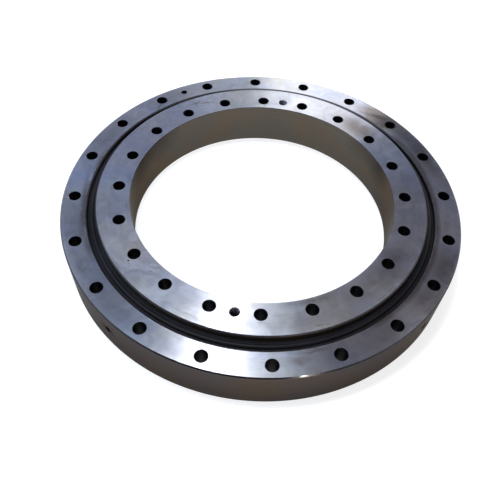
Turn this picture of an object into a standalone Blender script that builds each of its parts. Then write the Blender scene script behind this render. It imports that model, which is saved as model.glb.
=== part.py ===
"""Slewing ring bearing with one row of balls and no gear teeth.

Metres, +Z up. The origin is the centre of the outer ring's bottom face, and +Z is the axis
that the rings turn about. Azimuths run from +X towards +Y.

The section of each ring is drawn from the ball's centre: x runs out into that ring's wall and
h runs along the axis. The inner ring has the outer ring's section turned by half a turn about
the ball's centre, so its flat mounting face is on top and its seal is underneath.
"""

import math

import bmesh
import bpy
from mathutils import Matrix

# Rolling elements
BALL_CIRCLE_DIAMETER = 0.500
BALL_DIAMETER = 0.030
BALL_COUNT = 36
CONTACT_ANGLE = math.radians(45.0)

# Rings: the half height runs from the ball centres to the mounting face of either ring
HALF_HEIGHT = 0.040
RING_GAP = 0.002
OUTER_RING_WALL = 0.050
INNER_RING_WALL = 0.050
EDGE_CHAMFER = 0.001

# Raceway: how far the groove's arcs are rounder than the ball, and the play of the ball in it
RACE_RELIEF = 0.0010
BALL_CLEARANCE = 0.0006

# Seal seat: a step in the ring's edge, from a shelf above the ball's crown to the ring's end
SEAL_SHELF = 0.005
SEAL_DEPTH = 0.010
SEAL_WIDTH = 0.011
SEAT_ROUND_WIDTH = 0.003
SEAT_ROUND_DEPTH = 0.003

# Rubber seal: a foot in the seat, a rounded ridge, a crevice beside it and a wiping lip
SEAL_RIDGE_RADIUS = 0.0036
SEAL_RIDGE_SINK = 0.0012
SEAL_CREVICE_WIDTH = 0.0030
SEAL_CREVICE_DEPTH = 0.0055
SEAL_LIP_THICKNESS = 0.0012
SEAL_LIP_SINK = 0.0007
SEAL_LIP_DEPTH = 0.0045
SEAL_LIP_CLEARANCE = 0.0005

# Bolt holes: the edge distance runs from the ring's outside or bore to the hole line
OUTER_BOLT_COUNT = 20
OUTER_BOLT_EDGE = 0.018
OUTER_BOLT_DIAMETER = 0.018
FIRST_OUTER_BOLT = math.radians(4.375)
INNER_BOLT_COUNT = 20
INNER_BOLT_EDGE = 0.018
INNER_BOLT_DIAMETER = 0.018
FIRST_INNER_BOLT = math.radians(1.27)

# Tapped holes for lifting and jacking, half way between bolt holes of the inner ring
LIFT_HOLE_PITCHES = (4.5, 14.5)
LIFT_HOLE_DIAMETER = 0.0105
LIFT_HOLE_DEPTH = 0.024
LIFT_HOLE_CHAMFER = 0.0014

# Grease ports: a tapped mouth in the outer wall and a drilling to the raceway
GREASE_PORT_PITCHES = (2.5, 7.5, 12.5, 17.5)
GREASE_PORT_DIAMETER = 0.010
GREASE_PORT_DEPTH = 0.012
GREASE_DRILL_DIAMETER = 0.004

# Filler plug, which closes the hole that the balls go in through, and its taper pin
PLUG_PITCH = 6.5
PLUG_MARGIN = 0.002
PULLER_HOLE_DIAMETER = 0.006
PULLER_HOLE_DEPTH = 0.009
PIN_DIAMETER = 0.010
PIN_SINK = 0.004
PIN_RUNOUT = 0.007
PIN_TAPER = 0.01

# Cage: segments of punched strip that run in the gap between the rings, guided by their lands
CAGE_SEGMENTS = 4
CAGE_GUIDE_CLEARANCE = 0.0005
CAGE_RIM_CLEARANCE = 0.001
CAGE_POCKET_CLEARANCE = 0.0004
CAGE_END_GAP = 0.002

# Gap between pieces that seat on each other
FIT_GAP = 0.0003

# Facets
RING_FACETS = 60
HOLE_FACETS = 10
POCKET_FACETS = 10
RACE_FACETS = 4
SMOOTH_ANGLE = math.radians(35.0)

# Worked out from the sizes above
BALL_RADIUS = BALL_DIAMETER / 2
BALL_CIRCLE_RADIUS = BALL_CIRCLE_DIAMETER / 2
GAP_X = RING_GAP / 2
SEAT_X = GAP_X + SEAL_WIDTH
SEAT_H = BALL_RADIUS + SEAL_SHELF
SEAL_END_H = SEAT_H + SEAL_DEPTH
OUTER_RADIUS = BALL_CIRCLE_RADIUS + GAP_X + OUTER_RING_WALL
BORE_RADIUS = BALL_CIRCLE_RADIUS - GAP_X - INNER_RING_WALL
OUTER_BOTTOM_Z = 0.0
OUTER_TOP_Z = HALF_HEIGHT + SEAL_END_H
INNER_BOTTOM_Z = HALF_HEIGHT - SEAL_END_H
INNER_TOP_Z = 2 * HALF_HEIGHT
OUTER_BOLT_RADIUS = OUTER_RADIUS - OUTER_BOLT_EDGE
INNER_BOLT_RADIUS = BORE_RADIUS + INNER_BOLT_EDGE
PLUG_RADIUS = BALL_RADIUS + PLUG_MARGIN
BALL_PITCH = 2 * math.pi / BALL_COUNT
CUTTER_REACH = 0.004


def outer_pitch_azimuth(pitches):
    """Azimuth of a place counted in bolt pitches from the outer ring's first bolt hole."""
    return FIRST_OUTER_BOLT + pitches * 2 * math.pi / OUTER_BOLT_COUNT


def inner_pitch_azimuth(pitches):
    """Azimuth of a place counted in bolt pitches from the inner ring's first bolt hole."""
    return FIRST_INNER_BOLT + pitches * 2 * math.pi / INNER_BOLT_COUNT


def clear_scene():
    """Remove the objects that the file opened with."""
    for thing in list(bpy.data.objects):
        bpy.data.objects.remove(thing)


def material(name, colour, roughness, metallic):
    """A Principled material of one colour."""
    made = bpy.data.materials.new(name)
    made.use_nodes = True
    shader = made.node_tree.nodes["Principled BSDF"]
    shader.inputs["Base Color"].default_value = (*colour, 1.0)
    shader.inputs["Roughness"].default_value = roughness
    shader.inputs["Metallic"].default_value = metallic
    return made


def add_object(name, mesh, finish):
    """Put a mesh into the scene under its piece's name, shaded smooth up to its sharp edges."""
    mesh.materials.clear()
    mesh.materials.append(finish)
    mesh.shade_smooth()
    mesh.set_sharp_from_angle(angle=SMOOTH_ANGLE)
    piece = bpy.data.objects.new(name, mesh)
    bpy.context.scene.collection.objects.link(piece)
    return piece


def to_mesh(name, work):
    """Finish a bmesh: merge its seams, point its faces outward and make a mesh of it."""
    bmesh.ops.remove_doubles(work, verts=work.verts, dist=1e-6)
    bmesh.ops.recalc_face_normals(work, faces=work.faces)
    mesh = bpy.data.meshes.new(name)
    work.to_mesh(mesh)
    work.free()
    return mesh


def turned(name, section, facets, closed):
    """Spin a section of (radius, height) points a full turn about Z.

    A closed section makes a ring. An open one starts and ends on the axis and makes a solid.
    """
    work = bmesh.new()
    points = [work.verts.new((radius, 0.0, height)) for radius, height in section]
    edges = [work.edges.new(pair) for pair in zip(points, points[1:])]
    if closed:
        edges.append(work.edges.new((points[-1], points[0])))
    bmesh.ops.spin(work, geom=points + edges, cent=(0, 0, 0), axis=(0, 0, 1),
                   angle=2 * math.pi, steps=facets, use_merge=True, use_duplicate=False)
    return to_mesh(name, work)


def swept_arc(name, section, start, sweep, facets):
    """Spin a closed section part of a turn about Z, from one azimuth, and close its ends."""
    work = bmesh.new()
    points = [work.verts.new((radius, 0.0, height)) for radius, height in section]
    end_face = work.faces.new(points)
    bmesh.ops.rotate(work, cent=(0, 0, 0), matrix=Matrix.Rotation(start, 3, "Z"), verts=points)
    bmesh.ops.spin(work, geom=[end_face], cent=(0, 0, 0), axis=(0, 0, 1),
                   angle=sweep, steps=facets, use_duplicate=False)
    return to_mesh(name, work)


def placed_copies(name, mesh, places):
    """One mesh that holds a copy of the given mesh at each place, a 4 x 4 matrix."""
    work = bmesh.new()
    for place in places:
        copy = mesh.copy()
        copy.transform(place)
        work.from_mesh(copy)
        bpy.data.meshes.remove(copy)
    bpy.data.meshes.remove(mesh)
    return to_mesh(name, work)


def upright_at(radius, azimuth):
    """Place something that stands along Z at a radius and an azimuth."""
    return Matrix.Rotation(azimuth, 4, "Z") @ Matrix.Translation((radius, 0, 0))


def radial_at(azimuth, height):
    """Turn something that stands along Z to point outward along a radius, at a height."""
    return (Matrix.Rotation(azimuth, 4, "Z") @ Matrix.Translation((0, 0, height))
            @ Matrix.Rotation(math.pi / 2, 4, "Y"))


def combine(piece, tool_mesh, operation):
    """Apply a Boolean of a tool mesh to a piece's mesh."""
    tool = bpy.data.objects.new("tool", tool_mesh)
    bpy.context.scene.collection.objects.link(tool)
    step = piece.modifiers.new("combine", "BOOLEAN")
    step.operation = operation
    step.solver = "EXACT"
    step.object = tool
    result = bpy.data.meshes.new_from_object(
        piece.evaluated_get(bpy.context.evaluated_depsgraph_get()))
    piece.modifiers.clear()
    plain = piece.data
    result.name = plain.name + "_cut"
    piece.data = result
    bpy.data.meshes.remove(plain)
    bpy.data.objects.remove(tool)
    bpy.data.meshes.remove(tool_mesh)
    piece.data.shade_smooth()
    piece.data.set_sharp_from_angle(angle=SMOOTH_ANGLE)


def raceway():
    """The gothic groove, from one lip to the other: two arcs rounder than the ball.

    Each arc's centre lies past the ball's centre, opposite its contact point, so the ball has
    its least clearance at the contact angle on either side of the groove's root.
    """
    radius = BALL_RADIUS + BALL_CLEARANCE + RACE_RELIEF
    centre_x = -RACE_RELIEF * math.cos(CONTACT_ANGLE)
    centre_h = -RACE_RELIEF * math.sin(CONTACT_ANGLE)
    root = math.asin(-centre_h / radius)
    lip = math.acos((GAP_X - centre_x) / radius)
    angles = [root + (lip - root) * step / RACE_FACETS for step in range(RACE_FACETS + 1)]
    upper = [(centre_x + radius * math.cos(angle), centre_h + radius * math.sin(angle))
             for angle in angles]
    lower = [(x, -h) for x, h in reversed(upper[1:])]
    return lower + upper


def ring_section(wall, side):
    """A ring's section as (radius, height) points; side is 1 for the outer ring, -1 for the inner."""
    wall_x = GAP_X + wall
    foot_h = -HALF_HEIGHT
    turns = [math.radians(angle) for angle in (0, 45, 90)]
    seat_round = [(SEAT_X + SEAT_ROUND_WIDTH * (1 - math.cos(turn)),
                   SEAL_END_H - SEAT_ROUND_DEPTH * (1 - math.sin(turn))) for turn in turns]
    points = [(GAP_X, foot_h + EDGE_CHAMFER), *raceway(), (GAP_X, SEAT_H), (SEAT_X, SEAT_H),
              *seat_round,
              (wall_x - EDGE_CHAMFER, SEAL_END_H), (wall_x, SEAL_END_H - EDGE_CHAMFER),
              (wall_x, foot_h + EDGE_CHAMFER), (wall_x - EDGE_CHAMFER, foot_h),
              (GAP_X + EDGE_CHAMFER, foot_h)]
    return on_side(points, side)


def on_side(points, side):
    """Carry section points from the ball's centre to (radius, height) on one side of it."""
    return [(BALL_CIRCLE_RADIUS + side * x, HALF_HEIGHT + side * h) for x, h in points]


def seal_section(side):
    """The seal's section: its foot fills the seat and its lip runs on the other ring's wall."""
    back_x = SEAT_X - FIT_GAP
    foot_h = SEAT_H + FIT_GAP
    lip_x = -GAP_X + SEAL_LIP_CLEARANCE
    lip_back_x = lip_x + SEAL_LIP_THICKNESS
    ridge_x = SEAT_X - SEAL_CREVICE_WIDTH - SEAL_RIDGE_RADIUS
    ridge_h = SEAL_END_H - SEAL_RIDGE_SINK - SEAL_RIDGE_RADIUS
    crevice_h = SEAL_END_H - SEAL_CREVICE_DEPTH
    ridge = [(ridge_x + SEAL_RIDGE_RADIUS * math.cos(math.radians(angle)),
              ridge_h + SEAL_RIDGE_RADIUS * math.sin(math.radians(angle)))
             for angle in (0, 75, 150)]
    points = [(GAP_X + FIT_GAP, foot_h), (back_x, foot_h), (back_x, crevice_h), *ridge,
              (lip_back_x, SEAL_END_H - SEAL_LIP_SINK), (lip_x, SEAL_END_H - 2 * SEAL_LIP_SINK),
              (lip_x, SEAL_END_H - SEAL_LIP_DEPTH)]
    return on_side(points, side)


def bolt_hole_tool(name, diameter, bottom_z, top_z, places):
    """Plain through holes, as one tool mesh."""
    radius = diameter / 2
    section = [(0, bottom_z - CUTTER_REACH), (radius, bottom_z - CUTTER_REACH),
               (radius, top_z + CUTTER_REACH), (0, top_z + CUTTER_REACH)]
    return placed_copies(name, turned(name, section, HOLE_FACETS, False), places)


def lift_hole_tool():
    """Blind tapped holes with a countersunk mouth and a drill point, as one tool mesh."""
    radius = LIFT_HOLE_DIAMETER / 2
    wide = radius + LIFT_HOLE_CHAMFER
    floor_z = INNER_TOP_Z - LIFT_HOLE_DEPTH
    drill_point = radius * math.tan(math.radians(31.0))
    section = [(0, floor_z - drill_point), (radius, floor_z),
               (radius, INNER_TOP_Z - LIFT_HOLE_CHAMFER), (wide, INNER_TOP_Z),
               (wide, INNER_TOP_Z + CUTTER_REACH), (0, INNER_TOP_Z + CUTTER_REACH)]
    places = [upright_at(INNER_BOLT_RADIUS, inner_pitch_azimuth(pitches))
              for pitches in LIFT_HOLE_PITCHES]
    return placed_copies("lift_holes", turned("lift_hole", section, HOLE_FACETS, False), places)


def grease_port_tool():
    """Radial ports at the height of the balls, from the outer wall to the raceway."""
    mouth = GREASE_PORT_DIAMETER / 2
    drill = GREASE_DRILL_DIAMETER / 2
    section = [(0, BALL_CIRCLE_RADIUS), (drill, BALL_CIRCLE_RADIUS),
               (drill, OUTER_RADIUS - GREASE_PORT_DEPTH), (mouth, OUTER_RADIUS - GREASE_PORT_DEPTH),
               (mouth, OUTER_RADIUS + CUTTER_REACH), (0, OUTER_RADIUS + CUTTER_REACH)]
    places = [radial_at(outer_pitch_azimuth(pitches), HALF_HEIGHT)
              for pitches in GREASE_PORT_PITCHES]
    return placed_copies("grease_ports", turned("grease_port", section, HOLE_FACETS, False), places)


def plug_rod(name, radius):
    """A radial rod at the filler plug's place, long enough to pass right through the outer ring."""
    section = [(0, BALL_CIRCLE_RADIUS), (radius, BALL_CIRCLE_RADIUS),
               (radius, OUTER_RADIUS + CUTTER_REACH), (0, OUTER_RADIUS + CUTTER_REACH)]
    place = radial_at(outer_pitch_azimuth(PLUG_PITCH), HALF_HEIGHT)
    return placed_copies(name, turned(name, section, 2 * HOLE_FACETS, False), [place])


def pin_section(clearance, top_z):
    """The taper pin's section, grown by a clearance, with straight sides from its head to a height.

    The pin starts below the ring's top face and reaches past the plug into the ring beneath it.
    """
    head_z = OUTER_TOP_Z - PIN_SINK
    tip_z = HALF_HEIGHT - PLUG_RADIUS - PIN_RUNOUT - clearance
    head = PIN_DIAMETER / 2 + clearance
    tip = head - PIN_TAPER * (head_z - tip_z)
    return [(0, tip_z), (tip, tip_z), (head, head_z), (head, top_z), (0, top_z)]


def pin_hole_tool():
    """The taper pin's hole, open at the outer ring's top face."""
    mesh = turned("pin_hole", pin_section(FIT_GAP, OUTER_TOP_Z + CUTTER_REACH), HOLE_FACETS, False)
    place = upright_at(OUTER_BOLT_RADIUS, outer_pitch_azimuth(PLUG_PITCH))
    return placed_copies("pin_hole", mesh, [place])


def outer_ring(finish):
    """The outer ring: raceway, upper seal seat, bolt holes, grease ports and plug hole."""
    ring = add_object("outer_ring",
                      turned("outer_ring", ring_section(OUTER_RING_WALL, 1), RING_FACETS, True),
                      finish)
    places = [upright_at(OUTER_BOLT_RADIUS, outer_pitch_azimuth(count))
              for count in range(OUTER_BOLT_COUNT)]
    combine(ring, bolt_hole_tool("outer_bolts", OUTER_BOLT_DIAMETER, OUTER_BOTTOM_Z, OUTER_TOP_Z,
                                 places), "DIFFERENCE")
    combine(ring, grease_port_tool(), "DIFFERENCE")
    combine(ring, plug_rod("plug_hole", PLUG_RADIUS + FIT_GAP), "DIFFERENCE")
    combine(ring, pin_hole_tool(), "DIFFERENCE")
    return ring


def inner_ring(finish):
    """The inner ring: raceway, lower seal seat, bolt holes and lifting holes."""
    ring = add_object("inner_ring",
                      turned("inner_ring", ring_section(INNER_RING_WALL, -1), RING_FACETS, True),
                      finish)
    places = [upright_at(INNER_BOLT_RADIUS, inner_pitch_azimuth(count))
              for count in range(INNER_BOLT_COUNT)]
    combine(ring, bolt_hole_tool("inner_bolts", INNER_BOLT_DIAMETER, INNER_BOTTOM_Z, INNER_TOP_Z,
                                 places), "DIFFERENCE")
    combine(ring, lift_hole_tool(), "DIFFERENCE")
    return ring


def seal(name, side, finish):
    """A rubber seal ring; side is 1 for the upper seal and -1 for the lower one."""
    return add_object(name, turned(name, seal_section(side), RING_FACETS, True), finish)


def filler_plug(finish):
    """The plug: the part of the outer ring's form that lies in the plug hole, less its gap.

    Its inner end carries the raceway on, and its outer end has a tapped hole to pull it by.
    """
    plug = add_object("filler_plug", plug_rod("filler_plug", PLUG_RADIUS), finish)
    blank = turned("ring_form", ring_section(OUTER_RING_WALL, 1), RING_FACETS, True)
    combine(plug, blank, "INTERSECT")
    combine(plug, pin_hole_tool(), "DIFFERENCE")
    radius = PULLER_HOLE_DIAMETER / 2
    section = [(0, OUTER_RADIUS - PULLER_HOLE_DEPTH), (radius, OUTER_RADIUS - PULLER_HOLE_DEPTH),
               (radius, OUTER_RADIUS + CUTTER_REACH), (0, OUTER_RADIUS + CUTTER_REACH)]
    place = radial_at(outer_pitch_azimuth(PLUG_PITCH), HALF_HEIGHT)
    puller = placed_copies("puller_hole", turned("puller_hole", section, HOLE_FACETS, False), [place])
    combine(plug, puller, "DIFFERENCE")
    return plug


def taper_pin(finish):
    """The taper pin that locks the filler plug, driven in below the outer ring's top face."""
    pin = turned("plug_taper_pin", pin_section(0.0, OUTER_TOP_Z - PIN_SINK)[:3]
                 + [(0, OUTER_TOP_Z - PIN_SINK)], HOLE_FACETS, False)
    place = upright_at(OUTER_BOLT_RADIUS, outer_pitch_azimuth(PLUG_PITCH))
    return add_object("plug_taper_pin", placed_copies("plug_taper_pin", pin, [place]), finish)


def ball_azimuth(count):
    """Azimuth of a ball; the joins of the cage segments lie half a pitch from a ball."""
    return (count + 0.5) * BALL_PITCH


def balls(axis, finish):
    """The balls, which share one mesh and hang on the ball set's axis."""
    work = bmesh.new()
    bmesh.ops.create_icosphere(work, subdivisions=2, radius=BALL_RADIUS)
    mesh = to_mesh("ball", work)
    for count in range(BALL_COUNT):
        ball = add_object(f"ball_{count + 1:02d}", mesh, finish)
        azimuth = ball_azimuth(count)
        ball.location = (BALL_CIRCLE_RADIUS * math.cos(azimuth),
                         BALL_CIRCLE_RADIUS * math.sin(azimuth), HALF_HEIGHT)
        ball.rotation_euler = (0, 0, azimuth)
        ball.parent = axis


def cage_section():
    """The cage strip's section, as thick as the ring gap allows and just short of both seals."""
    half_x = GAP_X - CAGE_GUIDE_CLEARANCE
    half_h = SEAT_H - CAGE_RIM_CLEARANCE
    return [(half_x, -half_h), (half_x, half_h), (-half_x, half_h), (-half_x, -half_h)]


def pocket_tool(first, last):
    """The ball pockets of one cage segment: round windows cut along the radius.

    The windows' facets lie outside the clearance circle, with a flat and not a corner on top.
    """
    radius = (BALL_RADIUS + CAGE_POCKET_CLEARANCE) / math.cos(math.pi / POCKET_FACETS)
    inner_end = BALL_CIRCLE_RADIUS - CUTTER_REACH
    outer_end = BALL_CIRCLE_RADIUS + CUTTER_REACH
    section = [(0, inner_end), (radius, inner_end), (radius, outer_end), (0, outer_end)]
    half_facet = Matrix.Rotation(math.pi / POCKET_FACETS, 4, "Z")
    places = [radial_at(ball_azimuth(count), HALF_HEIGHT) @ half_facet
              for count in range(first, last)]
    return placed_copies("pockets", turned("pocket", section, POCKET_FACETS, False), places)


def cage(axis, finish):
    """The cage's segments, which share the balls out between them."""
    end_angle = CAGE_END_GAP / BALL_CIRCLE_DIAMETER
    for count in range(CAGE_SEGMENTS):
        first = count * BALL_COUNT // CAGE_SEGMENTS
        last = (count + 1) * BALL_COUNT // CAGE_SEGMENTS
        start = first * BALL_PITCH + end_angle
        sweep = (last - first) * BALL_PITCH - 2 * end_angle
        name = f"cage_segment_{count + 1}"
        strip = swept_arc(name, on_side(cage_section(), 1), start, sweep, 2 * (last - first))
        segment = add_object(name, strip, finish)
        combine(segment, pocket_tool(first, last), "DIFFERENCE")
        segment.parent = axis


def main():
    """Build the bearing at rest."""
    clear_scene()
    ring_steel = material("turned_steel", (0.42, 0.42, 0.44), 0.32, 1.0)
    plug_steel = material("plug_steel", (0.36, 0.36, 0.37), 0.40, 1.0)
    ball_steel = material("ball_steel", (0.62, 0.62, 0.64), 0.10, 1.0)
    rubber = material("seal_rubber", (0.020, 0.020, 0.022), 0.50, 0.0)
    cage_steel = material("cage_steel", (0.50, 0.50, 0.51), 0.38, 1.0)

    outer_ring(ring_steel)
    filler_plug(plug_steel)
    taper_pin(plug_steel)
    seal("upper_seal", 1, rubber)

    inner_ring(ring_steel)
    seal("lower_seal", -1, rubber)

    ball_set_axis = bpy.data.objects.new("ball_set_axis", None)
    bpy.context.scene.collection.objects.link(ball_set_axis)
    balls(ball_set_axis, ball_steel)
    cage(ball_set_axis, cage_steel)


main()
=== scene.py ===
"""Slewing ring bearing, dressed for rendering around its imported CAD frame.

Metres, +Z up, in the CAD's own frame: the origin is the centre of the outer ring's bottom face
and +Z is the turning axis. Azimuths run from +X towards +Y.
"""

import math

import bpy
import numpy as np
from bpy.props import FloatProperty, FloatVectorProperty, IntProperty, PointerProperty
from mathutils import Matrix, Vector


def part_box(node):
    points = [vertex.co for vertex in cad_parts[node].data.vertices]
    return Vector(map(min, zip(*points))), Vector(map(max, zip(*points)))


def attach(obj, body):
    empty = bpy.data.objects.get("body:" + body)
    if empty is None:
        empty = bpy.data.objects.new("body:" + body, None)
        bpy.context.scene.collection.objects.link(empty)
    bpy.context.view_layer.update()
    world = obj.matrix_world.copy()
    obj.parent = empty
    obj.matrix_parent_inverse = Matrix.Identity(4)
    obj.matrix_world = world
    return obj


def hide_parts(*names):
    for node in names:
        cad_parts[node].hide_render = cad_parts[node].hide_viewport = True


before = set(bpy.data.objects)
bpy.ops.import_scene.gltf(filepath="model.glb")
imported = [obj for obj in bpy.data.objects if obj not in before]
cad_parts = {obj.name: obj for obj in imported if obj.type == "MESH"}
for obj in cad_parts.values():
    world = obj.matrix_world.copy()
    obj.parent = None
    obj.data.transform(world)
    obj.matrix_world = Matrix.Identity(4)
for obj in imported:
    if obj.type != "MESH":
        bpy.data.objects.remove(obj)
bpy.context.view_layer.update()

bl_info = {
    "name": "Slewing Ring Bearing",
    "version": (1, 0, 0),
    "blender": (4, 5, 0),
    "location": "View3D > Sidebar > Slewing Ring",
    "description": "Builds a single-row ball slewing ring without teeth, and a studio for it",
    "category": "Add Mesh",
}

OUTER_HIGH, INNER_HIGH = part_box("outer_ring")[1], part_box("inner_ring")[1]

# Finer divisions than the CAD's, so that outlines and reflections run smooth
RING_COLUMNS = 360
HOLE_COLUMNS = 64
THREAD_COLUMNS = 40
THREAD_ROWS_PER_PITCH = 6
BALL_COLUMNS = 40
BALL_ROWS = 20
WINDOW_COLUMNS = 48
STRIP_COLUMNS = 60
STRIP_EDGE_STEPS = 6
RACE_STEPS = 20
ROUND_STEPS = 12
RIDGE_STEPS = 16
SMOOTH_ANGLE = math.radians(32.0)
PAPER_COLUMNS = 96

MM = 0.001

# How far a cutter passes the surface that it opens, and the width of the strip that keeps a
# face's shading flat beside a round, in metres; the slope of the cone that a drill leaves
CUTTER_REACH = 0.004
HOLDING_STRIP = 0.0003
DRILL_POINT_SLOPE = math.radians(31.0)

# Places of the grease ports and lifting holes, in bolt pitches from a ring's first bolt hole
PORT_PLACES = (2.5, 7.5, 12.5, 17.5)
LIFT_PLACES = (4.5, 14.5)

# Degrees between which the seal's ridge and its lip are round, from the ring's wall upwards
RIDGE_ARC, LIP_ARC = (-10, 140), (10, 180)

# Order of the finishes on a ring, which its cutters share
FACE, WALL, EDGE, HOLE, RACE, THREAD, SEAT, PORT = range(8)

# Stains and marks on the top faces, with broad patches of painted shade among them: radius in mm,
# azimuth and turn in degrees, length and width in mm, strength
OUTER_FILM_AND_SHADE = ((285, 24, 0, 190, 60, 1.2), (286, 40, 0, 100, 60, 1.0),
              (284, 336, 0, 110, 50, 0.9), (266, 187, 0, 170, 14, 1.1),
              (266, 206, 0, 70, 13, 0.8), (266, 168, 0, 80, 12, 0.8), (288, 212, 0, 40, 16, 0.5),
              (272, 133, 40, 50, 7, 0.8), (269, 286, 0, 50, 9, 0.8), (279, 281, 0, 36, 16, 0.6),
              (282, 120, 0, 190, 80, 0.5), (282, 158, 0, 190, 80, 0.5),
              (282, 196, 0, 190, 80, 0.4), (282, 232, 0, 170, 80, 0.5),
              (285, 45, 0, 60, 70, 2.0), (284, 50, 0, 56, 70, 1.1), (283, 309, 0, 90, 60, 0.7),
              (283, 323, 0, 90, 60, 0.7))
INNER_FILM_AND_SHADE = ((228, 118, -25, 60, 5, 0.9), (234, 122, 10, 46, 4, 0.8), (204, 290, 0, 60, 8, 0.5),
              (243, 217, 0, 40, 5, 0.5), (240, 248, 0, 60, 6, 0.4), (206, 228, 15, 30, 6, 0.5),
              (222, 46, 0, 90, 60, 1.3), (222, 314, 0, 90, 56, 0.6), (222, 328, 0, 90, 56, 0.8))
OUTER_MARKS_AND_SHADE = ((269, 196.0, 90, 7, 1.0, 0.6), (269, 197.4, 84, 8, 0.9, 0.5),
               (270, 199.0, 95, 9, 1.0, 0.6), (269, 200.6, 88, 8, 1.1, 0.5),
               (268, 202.2, 92, 6, 0.9, 0.5), (276, 129.0, 35, 34, 1.2, 0.7),
               (270, 131.5, 48, 26, 1.1, 0.7), (283, 321.0, 8, 12, 1.6, 0.4),
               (282, 46.8, 22, 46, 15, 0.5), (284, 43.5, 0, 60, 70, 0.65),
               (284, 31.0, 0, 130, 70, 0.3), (274, 51.0, 12, 30, 3, 0.4),
               (290, 50.5, 20, 26, 3, 0.4), (280, 54.0, 14, 24, 2, 0.4))
INNER_MARKS = ((229, 218.8, 0, 4.6, 3.2, 1.6), (231, 219.9, 20, 5, 1.4, 0.7),
               (215.8, 227.5, 20, 9, 2.0, 0.6), (241, 289.4, -8, 15, 1.5, 1.2),
               (243, 292.0, -16, 9, 1.3, 0.9), (229, 116.0, -22, 44, 1.2, 0.8),
               (224, 120.0, -8, 36, 1.1, 0.7), (204, 193.0, 60, 7, 1.2, 0.4),
               (206, 195.0, 75, 6, 1.2, 0.4), (212, 205.0, 30, 9, 1.2, 0.3))

# Even painted shade along the seal's edge on the outer ring's face, at one side, for a wider round
# than the seat has
SEAL_EDGE_SHADE = tuple((265, azimuth, 0, 70, 15, 1.2) for azimuth in range(-50, 35, 10))

# Thick oil round the grease port, and painted shade in the bore below its rim at both sides, given
# in the same way, with how far each reaches up and down
PORT_RUN = ((301, 229.2, 0, 34, 24, 1.4),)
PORT_RUN_REACH = 0.010
BORE_SHADE_BLOTS = ((199, 148, 0, 100, 60, 0.6), (199, 165, 0, 110, 60, 0.75),
             (199, 22, 0, 100, 60, 0.8), (199, 37, 0, 70, 60, 0.4))
BORE_SHADE_REACH = 0.045

# Painted glint: spots of a chamfer coloured bright where a lamp's glint falls, given in the same
# way
GLINT_SPOTS = ((300.3, 281.6, 0, 13, 8, 0.9),)

# Painted light: how far down from its rim a wall is painted lighter, in metres, and how much
# lighter the outside wall and the bore are painted at their rims
RIM_LIGHT_DEPTH = 0.055
WALL_RIM_SHADE, BORE_RIM_SHADE = 1.45, 1.25

# Lamps, each facing the middle of the bearing: name, place and size in metres, power in watts,
# colour, and what it is
LAMPS = (
    ("overhead", (-0.276, -0.10, 1.90), (0.165, 0.40), 18.4, "f8faff", "Softbox overhead"),
    ("beside", (0.16, -0.10, 1.90), (0.20, 0.40), 2.6, "f6fffc", "Fill beside that softbox"),
    ("start", (1.361, 2.178, 0.407), (0.72, 0.40), 3.8, "a8ceff", "Weak start of the strip light"),
    ("strip", (0.708, 2.468, 0.407), (0.72, 0.40), 35.5, "fffcfa", "Low strip light behind"),
    ("end", (0.179, 2.562, 0.407), (0.36, 0.40), 14.0, "fffff4", "End of the strip light"),
    ("glow", (-0.357, 2.543, 0.407), (0.72, 0.40), 7.8, "ebf6ff", "Glow left of the strip light"),
    ("far", (-0.916, 2.057, 1.30), (1.44, 0.60), 3.6, "c5d9ff", "Window behind to the left"),
    ("middle", (-1.867, 1.259, 1.30), (1.44, 0.60), 5.1, "a8ceff", "Window left and back"),
    ("near", (-2.250, 0.079, 1.30), (1.44, 0.60), 11.4, "a8ceff", "Window to the left"),
    ("side", (-1.20, -0.35, 1.90), (0.90, 0.90), 8.7, "c4e1ff", "Softbox high to the left"),
    ("right", (1.01, 0.35, 1.60), (0.12, 0.12), 0.35, "fffdf8", "Small lamp high to the right"),
    ("front", (1.00, -2.30, 1.07), (0.22, 0.22), 3.0, "fff6ea", "Small lamp low in front"))

# The paper's floor and backdrop, in metres and degrees; its floor lies just under the bearing
PAPER_RADIUS, PAPER_BEND, PAPER_HEIGHT, PAPER_Z = 5.0, 0.8, 1.7, -0.0002
PAPER_BEND_START, PAPER_BEND_STEPS = -84, 14

# Distances from the middle between which the lamps' light on the paper falls away
DIMMING_PAPER = (0.9, 2.4)

# Width of the camera's sensor in mm
SENSOR_WIDTH = 36.0


def linear(hex_colour):
    """Linear RGB of an sRGB hex colour such as "8c929c"."""
    parts = np.array([int(hex_colour[at:at + 2], 16) for at in (0, 2, 4)]) / 255.0
    return tuple(np.where(parts <= 0.04045, parts / 12.92, ((parts + 0.055) / 1.055) ** 2.4))


def length(name, description, default):
    """A property for a length in metres."""
    return FloatProperty(name=name, description=description, default=default, min=0.0,
                         precision=5, subtype="DISTANCE", unit="LENGTH")


def angle(name, description, degrees):
    """A property for an angle."""
    return FloatProperty(name=name, description=description, default=math.radians(degrees),
                         subtype="ANGLE", unit="ROTATION")


def colour(name, description, hex_colour):
    """A property for a colour."""
    return FloatVectorProperty(name=name, description=description, default=linear(hex_colour),
                               min=0.0, max=1.0, size=3, subtype="COLOR")


def power(name, description, watts):
    """A property for a lamp's power."""
    return FloatProperty(name=name, description=description, default=watts, min=0.0,
                         subtype="POWER", unit="POWER")


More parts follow.
